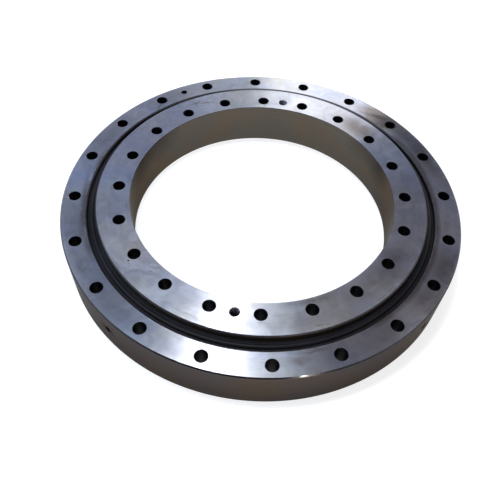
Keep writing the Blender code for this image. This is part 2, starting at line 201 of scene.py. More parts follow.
class RingSizes(bpy.types.PropertyGroup):
    """Sizes of the rings; the inner one has the outer one's section, turned half a turn."""

    outer_diameter: length("Outside diameter", "Across the outer ring's wall",
                           2 * OUTER_HIGH.x)
    bore_diameter: length("Bore diameter", "Across the inner ring's bore", 0.398)
    ball_circle: length("Ball circle", "Diameter of the circle of ball centres", 0.500)
    height: length("Height", "From one mounting face to the other", INNER_HIGH.z)
    ring_height: length("Ring height", "Height of either ring by itself", OUTER_HIGH.z)
    ring_gap: length("Ring gap", "Gap between the lands of the two rings", 0.002)
    wall_chamfer: length("Wall chamfer", "Chamfer at the edges of the outside wall", 0.0017)
    bore_chamfer: length("Bore chamfer", "Chamfer at the edges of the bore", 0.0004)
    land_chamfer: length("Land chamfer", "Chamfer beside the other ring's seal", 0.0018)
    race_radius: length("Raceway radius", "Radius of either arc of the gothic groove", 0.0166)
    race_shift: length("Raceway shift", "From the ball's centre to the centre of an arc", 0.001)
    seat_width: length("Seat width", "Width of the seal's seat", 0.011)
    seat_depth: length("Seat depth", "Depth of the seal's seat", 0.010)
    round_width: length("Seat round width", "Width of the round at the seat's edge", 0.003)
    round_depth: length("Seat round depth", "Depth of the round at the seat's edge", 0.003)


class HoleSizes(bpy.types.PropertyGroup):
    """Sizes of the bolt holes, tapped holes and grease ports."""

    bolt_count: IntProperty(name="Bolt holes", description="Bolt holes in either ring",
                            default=20, min=1)
    bolt_diameter: length("Bolt hole", "Diameter of a bolt hole", 0.018)
    bolt_edge: length("Edge distance", "From a ring's wall or bore to its hole line", 0.018)
    bolt_chamfer: length("Bolt hole chamfer", "Chamfer at either end of a bolt hole", 0.0003)
    first_outer: angle("First outer hole", "Azimuth of the outer ring's first hole", 4.375)
    first_inner: angle("First inner hole", "Azimuth of the inner ring's first hole", 1.27)
    lift_major: length("Lifting thread", "Outside diameter of the lifting thread", 0.012)
    lift_minor: length("Lifting core", "Core diameter of the lifting thread", 0.0104)
    lift_pitch: length("Lifting pitch", "Pitch of the lifting thread", 0.00175)
    lift_depth: length("Lifting depth", "Depth of a lifting hole", 0.024)
    lift_mouth: length("Lifting mouth", "Diameter of a lifting hole's countersink", 0.0146)
    port_major: length("Grease thread", "Outside diameter of the grease thread", 0.010)
    port_minor: length("Grease core", "Core diameter of the grease thread", 0.0090)
    port_pitch: length("Grease pitch", "Pitch of the grease thread", 0.001)
    port_depth: length("Grease depth", "Depth of a grease port's thread", 0.012)
    port_mouth: length("Grease mouth", "Diameter of a grease port's countersink", 0.0122)
    port_drill: length("Grease drilling", "Diameter of the way in to the balls", 0.004)


class PlugSizes(bpy.types.PropertyGroup):
    """Sizes of the filler plug and its taper pin."""

    pitch: FloatProperty(name="Plug place", default=6.5,
                         description="Bolt pitches from the outer ring's first hole")
    diameter: length("Plug diameter", "Diameter of the filler plug", 0.034)
    gap: length("Plug gap", "Gap round the plug and the pin", 0.0003)
    puller_major: length("Puller thread", "Outside diameter of the puller's thread", 0.0060)
    puller_minor: length("Puller core", "Core diameter of the puller's thread", 0.0050)
    puller_pitch: length("Puller pitch", "Pitch of the puller's thread", 0.001)
    puller_depth: length("Puller depth", "Depth of the puller's hole", 0.009)
    pin_head: length("Pin head", "Diameter of the pin's head", 0.010)
    pin_tip: length("Pin tip", "Diameter of the pin's tip", 0.009)
    pin_sink: length("Pin sink", "From the ring's face down to the pin's head", 0.004)
    pin_foot: length("Pin foot", "Height of the pin's tip above the ring's bottom", 0.016)
    pin_chamfer: length("Pin chamfer", "Chamfer of the pin's head", 0.0005)


class SealSizes(bpy.types.PropertyGroup):
    """Sizes of the rubber seals' section."""

    seat_gap: length("Seat gap", "Gap between the seal's foot and its seat", 0.0003)
    ridge_radius: length("Ridge radius", "Radius of the rounded ridge", 0.0036)
    ridge_sink: length("Ridge sink", "From the ring's face down to the ridge's crown", 0.0012)
    crevice_width: length("Crevice width", "Between the ridge and the seat's wall", 0.0030)
    crevice_depth: length("Crevice depth", "Depth of that gap", 0.0055)
    valley_sink: length("Valley sink", "Depth of the valley between ridge and lip", 0.0021)
    lip_width: length("Lip width", "Thickness of the wiping lip's crest", 0.0014)
    lip_sink: length("Lip sink", "From the ring's face down to the lip's crest", 0.0007)
    lip_depth: length("Lip depth", "From the ring's face to the lip's lower edge", 0.0045)
    lip_gap: length("Lip gap", "Gap between the lip and the other ring's wall", 0.0002)


class RowSizes(bpy.types.PropertyGroup):
    """Sizes of the balls and of the cage segments between them."""

    ball_count: IntProperty(name="Balls", description="Balls in the row", default=36, min=3)
    ball_diameter: length("Ball diameter", "Diameter of a ball", 0.030)
    segment_count: IntProperty(name="Cage segments", description="Segments of the cage",
                               default=4, min=1)
    strip_width: length("Strip width", "Height of the cage's strip", 0.038)
    strip_thickness: length("Strip thickness", "Thickness of the cage's strip", 0.001)
    end_gap: length("Segment gap", "Gap between the ends of two segments", 0.002)
    window_diameter: length("Window diameter", "Diameter of a ball's window", 0.0308)


class Finishes(bpy.types.PropertyGroup):
    """Colours of the finishes."""

    face: colour("Face-turned steel", "Flat faces of the rings", "c6c6c7")
    face_tint: colour("Bluish stain", "Bluish stain in the flat faces", "b1b7c9")
    # Brownish oil film, also used for broad patches of painted shade on the faces
    face_film_and_shade: colour("Oil film", "Brownish oil film on the flat faces", "86807f")
    # Dark marks, also used for broad patches of painted shade on the outer face
    face_mark_and_shade: colour("Dark marks", "Scratches and spots in the flat faces", "24232a")
    # Partly brown oil and partly painted shade: the wall is coloured far darker than bare steel
    wall: colour("Turned wall", "Outside wall, under dark oil", "4b4746")
    wall_tint: colour("Wall stain", "Browner oil on the outside wall", "51473f")
    wall_glance: colour("Wall seen edge on", "Tint of the oiled steel seen edge on", "adabaa")
    # Partly brown oil and partly painted shade, as for the wall
    bore: colour("Turned bore", "Bore and inner ring walls, under dark oil", "54504a")
    bore_tint: colour("Bore stain", "Browner oil in the bore", "5c5042")
    # Colour of the thick oil round the port, and of the painted shade in the bore
    thick_oil_and_shade: colour("Thick oil", "Oil round the port and run down the bore", "2a2624")
    # Painted shade: the seat's round and the land's chamfer are dark for the shade in the crevice
    # between the rings
    seat: colour("Seal seat", "Rounded seats of the seals, black with oil", "504e52")
    # Painted shade: the chamfers are coloured dark for the dark surroundings that they mirror
    edge: colour("Chamfered edge", "Chamfers and countersinks", "4c4c50")
    # Painted glint: colour of the chamfer's spots where a lamp's glint falls
    painted_glint: colour("Rubbed spot", "Spot of a chamfer rubbed bright", "cbcbce")
    hole: colour("Drilled hole", "Oily walls of drilled holes", "2a2d34")
    thread: colour("Tapped hole", "Cutting oil and dust on threads", "6e686c")
    port: colour("Grease port", "Old grease in the ports", "1a1916")
    race: colour("Ground raceway", "Hardened and ground raceways", "b4b4b6")
    # Partly oil and partly painted shade, as dark as the wall
    plug: colour("Filler plug", "Plug, ground flush with its ring", "5a534d")
    ball: colour("Bearing ball", "Polished balls", "c9cacc")
    strip: colour("Cage strip", "Cold-rolled strip of the cage", "a3a29e")
    rubber: colour("Seal rubber", "Black nitrile rubber", "141417")
    rubber_dust: colour("Rubber bloom", "Greyer bloom on the rubber", "1f1f24")
    paper: colour("Studio paper", "Floor and backdrop", "aaaaaa")


class StudioSettings(bpy.types.PropertyGroup):
    """Light and camera of the studio."""

    world_strength: FloatProperty(name="World strength", description="Plain light all round",
                                  default=0.176, min=0.0)
    world_colour: colour("World colour", "Colour of the light all round", "f5eeff")
    paper_glow: FloatProperty(name="Paper glow", description="Glow that makes the paper white",
                              default=0.78, min=0.0)
    lens: FloatProperty(name="Focal length", description="Camera's focal length",
                        default=40.858, min=1.0, unit="CAMERA")
    roll: angle("Camera roll", "Turn of the camera about its own axis", 3.2473)
    elevation: angle("Camera elevation", "Angle of the camera's axis below the horizon",
                     52.4326)
    place: FloatVectorProperty(name="Camera place", description="Where the camera stands",
                               default=(-0.01371, -0.59601, 0.70752), size=3,
                               subtype="TRANSLATION", unit="LENGTH")


# Each lamp's power and colour are settings of the studio too
for lamp, _, _, watts, tint, description in LAMPS:
    StudioSettings.__annotations__[lamp + "_power"] = power(
        f"{lamp.capitalize()} power", description, watts)
    StudioSettings.__annotations__[lamp + "_colour"] = colour(
        f"{lamp.capitalize()} colour", description, tint)


class Surface:
    """Points and faces of a shape, kept as arrays until they are written into a mesh."""

    def __init__(self, points, quads, triangles, quad_finish, triangle_finish):
        self.points = points
        self.quads = quads
        self.triangles = triangles
        self.quad_finish = quad_finish
        self.triangle_finish = triangle_finish

    def moved(self, place):
        """This surface with its points carried by a function."""
        return Surface(place(self.points), self.quads, self.triangles,
                       self.quad_finish, self.triangle_finish)


def joined(surfaces):
    """One surface that holds several, with their points numbered on."""
    starts = np.cumsum([0] + [len(one.points) for one in surfaces[:-1]])
    pairs = list(zip(surfaces, starts))
    return Surface(np.concatenate([one.points for one in surfaces]),
                   np.concatenate([one.quads + start for one, start in pairs]),
                   np.concatenate([one.triangles + start for one, start in pairs]),
                   np.concatenate([one.quad_finish for one in surfaces]),
                   np.concatenate([one.triangle_finish for one in surfaces]))


def grid_quads(columns, rows, wrap_columns, wrap_rows):
    """Quads of a grid of points numbered column by column, wrapped round where asked."""
    column = np.arange(columns if wrap_columns else columns - 1)[:, None]
    row = np.arange(rows if wrap_rows else rows - 1)[None, :]
    after, above = (column + 1) % columns, (row + 1) % rows
    corners = np.broadcast_arrays(column * rows + row, after * rows + row,
                                  after * rows + above, column * rows + above)
    return np.stack(corners, axis=-1).reshape(-1, 4)


def around(columns):
    """Equal steps of azimuth; the last one stops short of a full turn."""
    return 2 * math.pi * np.arange(columns) / columns


def carried_round(section, azimuth):
    """Points of a section of (radius, height) carried round Z.

    At azimuth a the point (r, z) lies at (r cos a, r sin a, z). The section is the same at each
    azimuth, or has one column of points for each.
    """
    radius, height = section[..., 0], section[..., 1]
    return np.stack(np.broadcast_arrays(radius * np.cos(azimuth)[:, None],
                                        radius * np.sin(azimuth)[:, None], height), axis=-1)


def turned_ring(section, looks, columns):
    """A closed section carried a full turn round Z, one finish for each of its sides."""
    points = carried_round(section, around(columns))
    quads = grid_quads(columns, len(section), True, True)
    return Surface(points.reshape(-1, 3), quads, np.zeros((0, 3), int),
                   np.tile(looks, columns), np.zeros(0, int))


def closed_tube(points, foot, crown, looks):
    """A grid of points, columns of rising rows, closed at its ends by two poles on its axis.

    The looks are one finish for each side of a column, from the foot pole to the crown pole.
    """
    columns, rows = points.shape[:2]
    quads = grid_quads(columns, rows, True, False)
    column = np.arange(columns)
    after = (column + 1) % columns
    foot_at, crown_at = columns * rows, columns * rows + 1
    foot_fan = np.stack([np.full(columns, foot_at), after * rows, column * rows], axis=-1)
    crown_fan = np.stack([column * rows + rows - 1, after * rows + rows - 1,
                          np.full(columns, crown_at)], axis=-1)
    return Surface(np.concatenate([points.reshape(-1, 3), [foot, crown]]), quads,
                   np.concatenate([foot_fan, crown_fan]), np.tile(looks[1:-1], columns),
                   np.repeat([looks[0], looks[-1]], columns))


def turned_rod(section, looks, columns):
    """A section of (radius, height) that rises from the axis and back to it, carried round Z."""
    section = np.asarray(section, float)
    points = carried_round(section[1:-1], around(columns))
    return closed_tube(points, (0, 0, section[0, 1]), (0, 0, section[-1, 1]), looks)


def thread_wave(turns):
    """A thread's profile over its turns: from 0 at the core to 1 outside.

    A wave of even slopes, made 1.3 times as high about its middle and cut off at 0 and 1, so
    that core and crest have small flats.
    """
    stretch = 1.3
    slopes = 1 - np.abs(2 * np.mod(turns, 1.0) - 1)
    return np.clip(stretch * slopes - (stretch - 1) / 2, 0.0, 1.0)


def tapped_hole(major, minor, pitch, depth, mouth, drill, drill_depth, look):
    """A cutter for a tapped hole that opens upwards at height 0.

    Its radius at height z and azimuth a is the core's, plus the thread's depth times a wave of
    z / pitch - a / (2 pi), so that the thread is a true helix. The mouth is a 45 degree cone,
    and below the thread the hole goes on as a narrower drilling or ends in a drill's point.
    """
    step = pitch / THREAD_ROWS_PER_PITCH
    mouth_depth = (mouth - minor) / 2
    height = np.arange(-depth, 0.0, step)
    height = height[height < -step / 2]
    azimuth = around(THREAD_COLUMNS)
    wave = thread_wave(height[None, :] / pitch - azimuth[:, None] / (2 * math.pi))
    run_in = np.clip((height + depth) / pitch, 0.0, 1.0)
    radius = minor / 2 + (major - minor) / 2 * wave * run_in
    radius = np.maximum(radius, minor / 2 + mouth_depth + height)
    top = np.array([0.0, CUTTER_REACH])
    top_radius = mouth / 2 + np.array([0.0, CUTTER_REACH])
    if drill:
        low = np.array([-drill_depth, -depth - (minor - drill) / 2])
        low_radius = np.array([drill / 2, drill / 2])
        foot = -drill_depth
    else:
        low, low_radius = np.zeros(0), np.zeros(0)
        foot = -depth - minor / 2 * math.tan(DRILL_POINT_SLOPE)
    heights = np.concatenate([low, height, top])
    below, above = (np.tile(part, (THREAD_COLUMNS, 1)) for part in (low_radius, top_radius))
    radii = np.concatenate([below, radius, above], axis=1)
    section = np.stack([radii, np.broadcast_to(heights, radii.shape)], axis=-1)
    return closed_tube(carried_round(section, azimuth), (0, 0, foot), (0, 0, CUTTER_REACH),
                       np.full(len(heights) + 1, look))


def upright_at(radius, azimuth, height):
    """A function that stands points along Z at a radius, an azimuth and a height."""
    turn = np.array([[math.cos(azimuth), -math.sin(azimuth), 0.0],
                     [math.sin(azimuth), math.cos(azimuth), 0.0], [0.0, 0.0, 1.0]])
    return lambda points: (points + (radius, 0.0, height)) @ turn.T


def radial_at(radius, azimuth, height):
    """A function that lays points' Z axis outwards along a radius, from a radius and height."""
    stand = upright_at(radius, azimuth, height)
    lay = np.array([[0.0, 0.0, 1.0], [0.0, 1.0, 0.0], [-1.0, 0.0, 0.0]])
    return lambda points: stand(points @ lay.T)


def smooth(mesh):
    """Shade a mesh smooth up to its sharp edges."""
    mesh.shade_smooth()
    mesh.set_sharp_from_angle(angle=SMOOTH_ANGLE)


def add_piece(name, surface, looks):
    """Write a surface into the mesh of a new object at the origin, with its finishes."""
    mesh = bpy.data.meshes.new(name)
    mesh.from_pydata(surface.points.tolist(), [],
                     surface.quads.tolist() + surface.triangles.tolist())
    for look in looks:
        mesh.materials.append(look)
    index = np.concatenate([surface.quad_finish, surface.triangle_finish]).astype(np.int32)
    mesh.polygons.foreach_set("material_index", index)
    mesh.validate()
    smooth(mesh)
    piece = bpy.data.objects.new(name, mesh)
    bpy.context.scene.collection.objects.link(piece)
    return piece


def cut(piece, surface, operation="DIFFERENCE"):
    """Carve a surface out of a piece, or keep only what lies in it, with an exact Boolean."""
    tool = add_piece("tool", surface, list(piece.data.materials))
    step = piece.modifiers.new("cut", "BOOLEAN")
    step.operation = operation
    step.solver = "EXACT"
    step.material_mode = "INDEX"
    step.object = tool
    result = bpy.data.meshes.new_from_object(
        piece.evaluated_get(bpy.context.evaluated_depsgraph_get()))
    piece.modifiers.clear()
    plain, tool_mesh = piece.data, tool.data
    piece.data = result
    bpy.data.objects.remove(tool)
    bpy.data.meshes.remove(tool_mesh)
    bpy.data.meshes.remove(plain)
    result.name = piece.name
    smooth(result)


def hand_over(piece, body, slot, *nodes):
    """Hang a piece on the empty of the body that it rides on, and hide the CAD nodes that it
    stands for. The slot is not used.
    """
    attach(piece, body)
    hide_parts(*nodes)


def arc(centre, radii, start, end, steps):
    """Points on an ellipse's arc: centre plus radii times (cos, sin) of equal angle steps."""
    turn = np.radians(np.linspace(start, end, steps + 1))
    return np.stack([centre[0] + radii[0] * np.cos(turn), centre[1] + radii[1] * np.sin(turn)],
                    axis=-1)


def section_of(runs):
    """Join runs of points into one section; each run's finish is that of its sides."""
    points = [np.atleast_2d(np.asarray(run, float)) for run, look in runs]
    looks = [np.full(len(run), look) for run, (_, look) in zip(points, runs)]
    return np.concatenate(points), np.concatenate(looks)


def on_side(section, sizes, side):
    """Carry points (x into the ring's wall, h up) from the ball's centre to (radius, height)."""
    return np.array([sizes.ball_circle / 2, sizes.height / 2]) + side * section


def ring_section(sizes, side):
    """A ring's section, anticlockwise; side is 1 for the outer ring and -1 for the inner.

    The raceway is two arcs rounder than the ball, each centred past the ball's centre. The
    seat's edge is a quarter of an ellipse. A narrow strip beside it keeps the face's shading
    flat. The wall's two edges and the land beside the other ring's seal have chamfers.
    """
    gap = sizes.ring_gap / 2
    wall = (sizes.outer_diameter if side > 0 else sizes.ball_circle * 2 - sizes.bore_diameter)
    wall = wall / 2 - sizes.ball_circle / 2
    foot, end = -sizes.height / 2, sizes.ring_height - sizes.height / 2
    seat_x, seat_h = gap + sizes.seat_width, end - sizes.seat_depth
    chamfer = sizes.wall_chamfer if side > 0 else sizes.bore_chamfer
    land = sizes.land_chamfer
    shift = sizes.race_shift * math.sqrt(0.5)
    root = math.degrees(math.asin(shift / sizes.race_radius))
    lip = math.degrees(math.acos((gap + shift) / sizes.race_radius))
    upper = arc((-shift, -shift), (sizes.race_radius,) * 2, lip, root, RACE_STEPS)
    lower = upper[-2::-1] * (1, -1)
    race = np.concatenate([upper, lower])
    face_end = seat_x + sizes.round_width
    seat_round = arc((face_end, end - sizes.round_depth),
                     (sizes.round_width, sizes.round_depth), 90, 180, ROUND_STEPS)
    section, looks = section_of([
        ([(gap, seat_h)], WALL), (race[:-1], RACE), (race[-1:], WALL),
        # The land's chamfer and the seat's round take the seat's colour, painted shade between the
        # rings
        ([(gap, foot + land)], SEAT), ([(gap + land, foot)], FACE),
        ([(wall - chamfer, foot)], EDGE), ([(wall, foot + chamfer)], WALL),
        ([(wall, end - chamfer)], EDGE),
        ([(wall - chamfer, end), (face_end + HOLDING_STRIP, end)], FACE),
        (seat_round, SEAT), ([(seat_x, seat_h)], WALL)])
    return on_side(section, sizes, side), looks


def bolt_holes(holes, line_radius, first, low, high):
    """Cutters for a ring's through holes, chamfered at both ends."""
    radius, chamfer = holes.bolt_diameter / 2, holes.bolt_chamfer
    wide = radius + chamfer + CUTTER_REACH
    section = [(0, low - CUTTER_REACH), (wide, low - CUTTER_REACH), (radius, low + chamfer),
               (radius, high - chamfer), (wide, high + CUTTER_REACH), (0, high + CUTTER_REACH)]
    rod = turned_rod(section, [EDGE, EDGE, HOLE, EDGE, EDGE], HOLE_COLUMNS)
    return joined([rod.moved(upright_at(line_radius, azimuth, 0.0))
                   for azimuth in first + around(holes.bolt_count)])


def pin_rod(sizes, plug, gap, top):
    """The taper pin's form, grown by a gap and carried on straight up to a height."""
    head_z = sizes.ring_height - plug.pin_sink
    head, tip = plug.pin_head / 2 + gap, plug.pin_tip / 2 + gap
    section = [(0, plug.pin_foot - gap), (tip, plug.pin_foot - gap), (head, head_z),
               (head, top), (0, top)]
    return turned_rod(section, [HOLE] * 4, HOLE_COLUMNS)


def pitches_on(holes, first, count):
    """Azimuth that lies a count of bolt pitches on from a ring's first bolt hole."""
    return first + count * 2 * math.pi / holes.bolt_count


def plug_azimuth(holes, plug):
    """Azimuth of the filler plug."""
    return pitches_on(holes, holes.first_outer, plug.pitch)


def bolt_line(sizes, holes):
    """Radius of the outer ring's bolt circle."""
    return sizes.outer_diameter / 2 - holes.bolt_edge


def pin_cutter(settings):
    """The taper pin's hole in the outer ring and the plug, open at the ring's top face."""
    sizes, holes, plug = settings.rings, settings.holes, settings.plug
    place = upright_at(bolt_line(sizes, holes), plug_azimuth(holes, plug), 0.0)
    return pin_rod(sizes, plug, plug.gap, sizes.ring_height + CUTTER_REACH).moved(place)


def plug_rod(settings, gap, look):
    """A radial rod at the filler plug's place, from the ball circle to past the outer wall."""
    sizes, holes, plug = settings.rings, settings.holes, settings.plug
    radius = plug.diameter / 2 + gap
    reach = sizes.outer_diameter / 2 - sizes.ball_circle / 2 + CUTTER_REACH
    rod = turned_rod([(0, 0), (radius, 0), (radius, reach), (0, reach)], [look] * 3,
                     2 * HOLE_COLUMNS)
    return rod.moved(radial_at(sizes.ball_circle / 2, plug_azimuth(holes, plug),
                               sizes.height / 2))


def add(tree, kind, inputs=(), **settings):
    """Add a node of a kind, such as "Math" or "Mix", with its settings.

    An input is a value, an output of another node, or a node that stands for its first output.
    They come in the order of the node's own, or in a dict by name or number.
    """
    made = tree.nodes.new("ShaderNode" + kind)
    for key, value in settings.items():
        setattr(made, key, value)
    for key, value in inputs.items() if isinstance(inputs, dict) else enumerate(inputs):
        if isinstance(value, bpy.types.Node):
            value = next(output for output in value.outputs if output.enabled)
        if isinstance(value, bpy.types.NodeSocket):
            tree.links.new(value, made.inputs[key])
        else:
            made.inputs[key].default_value = value
    return made


def new_material(name):
    """An empty node material, its node tree and the tree's Object coordinates."""
    made = bpy.data.materials.new(name)
    made.use_nodes = True
    tree = made.node_tree
    tree.nodes.clear()
    return made, tree, add(tree, "TexCoord").outputs["Object"]


def lay_surface(tree, inputs):
    """The nodes that every material ends with: the surface's shader and the output."""
    surface = add(tree, "BsdfPrincipled", inputs)
    add(tree, "OutputMaterial", {"Surface": surface})


def turned_pattern(tree, where, feed):
    """Nodes shared by the turned finishes, from the Object coordinates.

    The lathe's lines run round the axis. Their pattern reads the azimuth's cosine and sine,
    slowly, and radius plus a share of height, with one unit of noise for each feed. Returns
    the lines' noise and the direction across the lines, which sways a little.
    """
    per_radian, height_share, sway_angle = 2.2, 0.7, 0.05
    level = add(tree, "VectorMath", (where, (1.0, 1.0, 0.0)), operation="MULTIPLY")
    outward = add(tree, "VectorMath", (level,), operation="NORMALIZE")
    radius = add(tree, "VectorMath", (level,), operation="LENGTH")
    height = add(tree, "SeparateXYZ", (where,)).outputs["Z"]
    line_at = add(tree, "Math", (height, height_share, radius), operation="MULTIPLY_ADD")
    line_count = add(tree, "Math", (line_at, 1.0 / feed), operation="MULTIPLY")
    stack = add(tree, "CombineXYZ", {"Z": line_count})
    wrapped = add(tree, "VectorMath", (outward, (per_radian,) * 3, stack),
                  operation="MULTIPLY_ADD")
    lines = add(tree, "TexNoise",
                {"Vector": wrapped, "Scale": 1.0, "Detail": 3.0, "Roughness": 0.55})
    waves = add(tree, "TexNoise",
                {"Vector": wrapped, "Scale": 0.22, "Detail": 2.0, "Roughness": 0.5})
    onward = add(tree, "VectorMath", ((0.0, 0.0, 1.0), outward), operation="CROSS_PRODUCT")
    onward = add(tree, "VectorTransform", (onward,), vector_type="VECTOR",
                 convert_from="OBJECT", convert_to="WORLD")
    normal = add(tree, "NewGeometry").outputs["Normal"]
    across = add(tree, "VectorMath", (onward, normal), operation="CROSS_PRODUCT")
    sway = add(tree, "Math", (lines, 0.5, waves), operation="MULTIPLY_ADD")
    sway = add(tree, "MapRange", (sway, 0.45, 1.05, -sway_angle, sway_angle))
    across = add(tree, "VectorRotate",
                 {"Vector": across, "Axis": normal, "Angle": sway}, rotation_type="AXIS_ANGLE")
    return lines, across


def patchy(tree, noise, low, high, clean, stained):
    """Nodes for a clean colour that turns to a stained one as a noise goes from low to high."""
    amount = add(tree, "MapRange", (noise, low, high))
    return add(tree, "Mix", {"Factor": amount, "A": (*clean, 1.0), "B": (*stained, 1.0)},
               data_type="RGBA")


def blots(tree, where, height, places, reach=0.002):
    """Nodes for soft-edged ellipsoids about a height; returns their summed strength.

    A place is (radius in mm, azimuth in degrees, turn from the lathe's lines in degrees,
    length in mm, width in mm, strength). Strength falls evenly from the middle to the edge,
    and to a reach above and below.
    """
    total = 0.0
    for radius, azimuth, turn, long, wide, strength in places:
        at = math.radians(azimuth)
        local = add(tree, "Mapping",
                    {"Vector": where,
                     "Location": (MM * radius * math.cos(at), MM * radius * math.sin(at), height),
                     "Rotation": (0.0, 0.0, at + math.radians(90 + turn)),
                     "Scale": (MM * long / 2, MM * wide / 2, reach)}, vector_type="TEXTURE")
        fade = add(tree, "TexGradient", (local,), gradient_type="SPHERICAL")
        total = add(tree, "Math", (fade.outputs["Fac"], strength, total), operation="MULTIPLY_ADD")
    return total


def covered(tree, base, layers, cover):
    """Nodes that lay a cover's colour over a base in layers of blots, each given as for blots."""
    amount = 0.0
    for layer in layers:
        amount = add(tree, "Math", (blots(tree, *layer), amount), operation="ADD", use_clamp=True)
    return add(tree, "Mix", {"Factor": amount, "A": base, "B": (*cover, 1.0)}, data_type="RGBA")


def face_turned_steel(colours):
    """Face-turned bearing steel, wiped with oil: the rings' flat faces.

    A facing tool leaves fine lines round the axis, about 0.25 mm apart, which stretch every
    highlight into a bright wedge across the ring. They are drawn 1.6 mm apart, as fine as the
    render can show. Oil and handling leave bluish and brownish patches some centimetres wide, with
    scratches, a spot and the ticks of a tool's chatter. Broader darker patches, and a strip along
    the seal's edge, are painted shade.
    """
    made, tree, where = new_material("face_turned_steel")
    lines, across = turned_pattern(tree, where, 0.0016)
    patches = add(tree, "TexNoise",
                  {"Vector": where, "Scale": 14.0, "Detail": 3.0, "Roughness": 0.6})
    smears = add(tree, "TexNoise",
                 {"Vector": where, "Scale": 45.0, "Detail": 4.0, "Distortion": 1.2})
    # Coordinates that the smears push about by up to 8 mm, so that the edges of the film and of
    # its painted shade are ragged
    ragged = add(tree, "VectorMath",
                 (smears.outputs["Color"], (0.016, 0.016, 0.0), where), operation="MULTIPLY_ADD")
    ragged = add(tree, "VectorMath", (ragged, (0.008, 0.008, 0.0)), operation="SUBTRACT")
    base = patchy(tree, patches, 0.3, 0.65, colours.face, colours.face_tint)
    # Film in patches, broad patches of painted shade, and painted shade along the seal's edge
    base = covered(tree, base, ((ragged, OUTER_HIGH.z, OUTER_FILM_AND_SHADE),
                                (ragged, INNER_HIGH.z, INNER_FILM_AND_SHADE),
                                (where, OUTER_HIGH.z, SEAL_EDGE_SHADE)), colours.face_film_and_shade)
    grooved = add(tree, "MapRange", (lines, 0.25, 0.75, 0.92, 1.06))
    wiped = add(tree, "MapRange", (smears, 0.3, 0.7, 0.86, 1.1))
    shade = add(tree, "Math", (grooved, wiped), operation="MULTIPLY")
    base = add(tree, "VectorMath", {0: base, "Scale": shade}, operation="SCALE")
    # Marks, and broad patches of painted shade on the outer face
    base = covered(tree, base, ((where, OUTER_HIGH.z, OUTER_MARKS_AND_SHADE),
                                (where, INNER_HIGH.z, INNER_MARKS)), colours.face_mark_and_shade)
    rough = add(tree, "MapRange", (smears, 0.3, 0.75, 0.33, 0.38))
    relief = add(tree, "Bump", {"Height": lines, "Strength": 0.25, "Distance": 0.00003})
    lay_surface(tree, {"Base Color": base, "Metallic": 1.0, "Roughness": rough,
                       "Anisotropic": 0.9, "Tangent": across, "Normal": relief})
    return made


def oil_and_shade_wall_steel(name, colours, clean, stained, run, rim_height, rim_shade):
    """Rough-turned steel under brown preserving oil: the outside wall and the bore.

    The lines run round the wall, 0.5 mm apart in life and 2 mm here. The oil makes the steel warm
    and dries in brown patches; the steel's dark colour is partly that oil and partly painted
    shade. Thick oil lies round the grease port, and blots of painted shade darken the bore below
    its rim at the sides. The wall is painted lighter towards its rim, a painted light. Seen edge
    on, the film stays dark, where bare steel would turn white.
    """
    made, tree, where = new_material(name)
    lines, across = turned_pattern(tree, where, 0.0020)
    patches = add(tree, "TexNoise",
                  {"Vector": where, "Scale": 11.0, "Detail": 5.0, "Roughness": 0.65})
    base = patchy(tree, patches, 0.42, 0.72, clean, stained)
    # The blots are thick oil round the port on the wall, and painted shade on the bore
    base = covered(tree, base, ((where, *run),), colours.thick_oil_and_shade)
    height = add(tree, "SeparateXYZ", (where,)).outputs["Z"]
    # Painted light: lighter towards the rim, darker below
    painted_rim_light = add(tree, "MapRange",
                  (height, rim_height - RIM_LIGHT_DEPTH, rim_height, 1.0, rim_shade))
    grooved = add(tree, "MapRange", (lines, 0.25, 0.75, 0.95, 1.05))
    shade = add(tree, "Math", (grooved, painted_rim_light), operation="MULTIPLY")
    base = add(tree, "VectorMath", {0: base, "Scale": shade}, operation="SCALE")
    relief = add(tree, "Bump", {"Height": lines, "Strength": 0.2, "Distance": 0.00004})
    lay_surface(tree, {"Base Color": base, "Metallic": 1.0, "Roughness": 0.40,
                       "Specular Tint": (*colours.wall_glance, 1.0), "Anisotropic": 0.6,
                       "Tangent": across, "Normal": relief})
    return made


def plain_steel(name, base, roughness, grain_scale, shading, relief_depth, painted_glint=None):
    """Steel of one colour with a grain of noise in its shade, roughness and relief.

    Real grain is finer than half a millimetre. It is drawn 2 to 5 mm across, so that it shows.
    Where a colour for a painted glint is given, the chamfer's glint spots take it.
    """
    made, tree, where = new_material(name)
    grain = add(tree, "TexNoise",
                {"Vector": where, "Scale": grain_scale, "Detail": 4.0, "Roughness": 0.6})
    shade = add(tree, "MapRange", (grain, 0.3, 0.7, 1.0 - shading, 1.0 + shading))
    base = add(tree, "VectorMath", {0: tuple(base), "Scale": shade}, operation="SCALE")
    # Painted glint: spots of the chamfer coloured bright
    if painted_glint is not None:
        base = covered(tree, base, ((where, OUTER_HIGH.z, GLINT_SPOTS),), painted_glint)
    rough = add(tree, "MapRange", (grain, 0.3, 0.7, roughness * 0.85, roughness * 1.15))
    relief = add(tree, "Bump", {"Height": grain, "Strength": 0.3, "Distance": relief_depth})
    lay_surface(tree, {"Base Color": base, "Metallic": 1.0, "Roughness": rough,
                       "Normal": relief})
    return made


